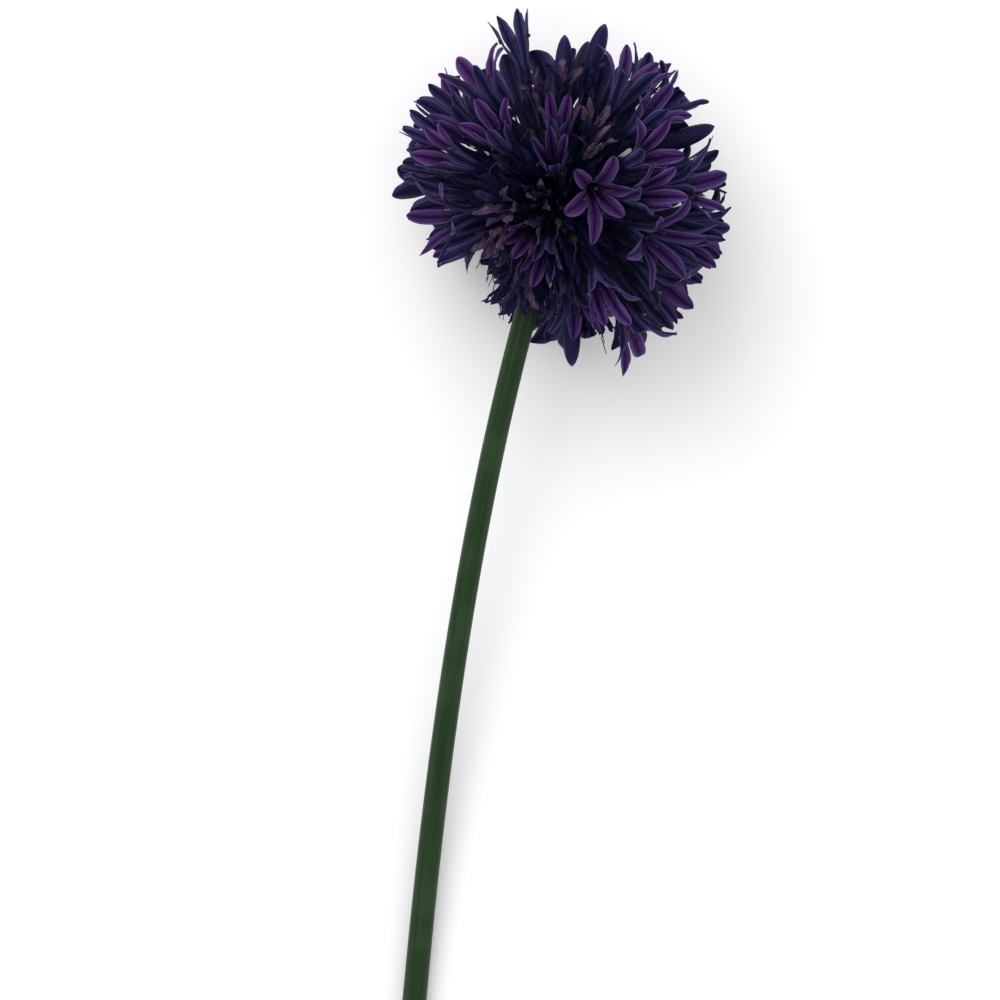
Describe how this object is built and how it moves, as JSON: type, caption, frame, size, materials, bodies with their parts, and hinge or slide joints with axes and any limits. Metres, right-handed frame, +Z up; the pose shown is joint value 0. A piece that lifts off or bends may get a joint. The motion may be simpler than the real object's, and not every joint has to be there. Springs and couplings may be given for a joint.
{
  "type": "agapanthus flower head",
  "caption": "Ball-shaped umbel of dark purple trumpet florets, buds and faded florets on a long, gently curved cut scape that lies on its side.",
  "frame": {"origin": "on the surface that the flower lies on, under the middle of its bounding box", "axes": "+Y along the scape from its cut end towards the head, +X across, +Z up from the surface; the picture's view looks down along -Z with +Y up the picture"},
  "size_m": [0.1628, 0.522, 0.1509],
  "materials": {
    "scape": "smooth fleshy green stalk, satin",
    "florets": "soft dark purple tepals, satin"
  },
  "bodies": {
    "root": {"scape": "scape", "floret_cyme_01": "florets", "floret_cyme_02": "florets", "floret_cyme_03": "florets", "floret_cyme_04": "florets", "floret_cyme_05": "florets", "floret_cyme_06": "florets", "floret_cyme_07": "florets", "floret_cyme_08": "florets", "floret_cyme_09": "florets", "floret_cyme_10": "florets", "floret_cyme_11": "florets", "floret_cyme_12": "florets", "floret_cyme_13": "florets", "floret_cyme_14": "florets", "floret_cyme_15": "florets", "floret_cyme_16": "florets", "floret_cyme_17": "florets", "floret_cyme_18": "florets", "floret_cyme_19": "florets", "floret_cyme_20": "florets", "floret_cyme_21": "florets", "floret_cyme_22": "florets", "floret_cyme_23": "florets", "floret_cyme_24": "florets", "floret_cyme_25": "florets", "floret_cyme_26": "florets", "floret_cyme_27": "florets", "floret_cyme_28": "florets", "floret_cyme_29": "florets", "floret_cyme_30": "florets", "floret_cyme_31": "florets", "floret_cyme_32": "florets"}
  },
  "joints": []
}
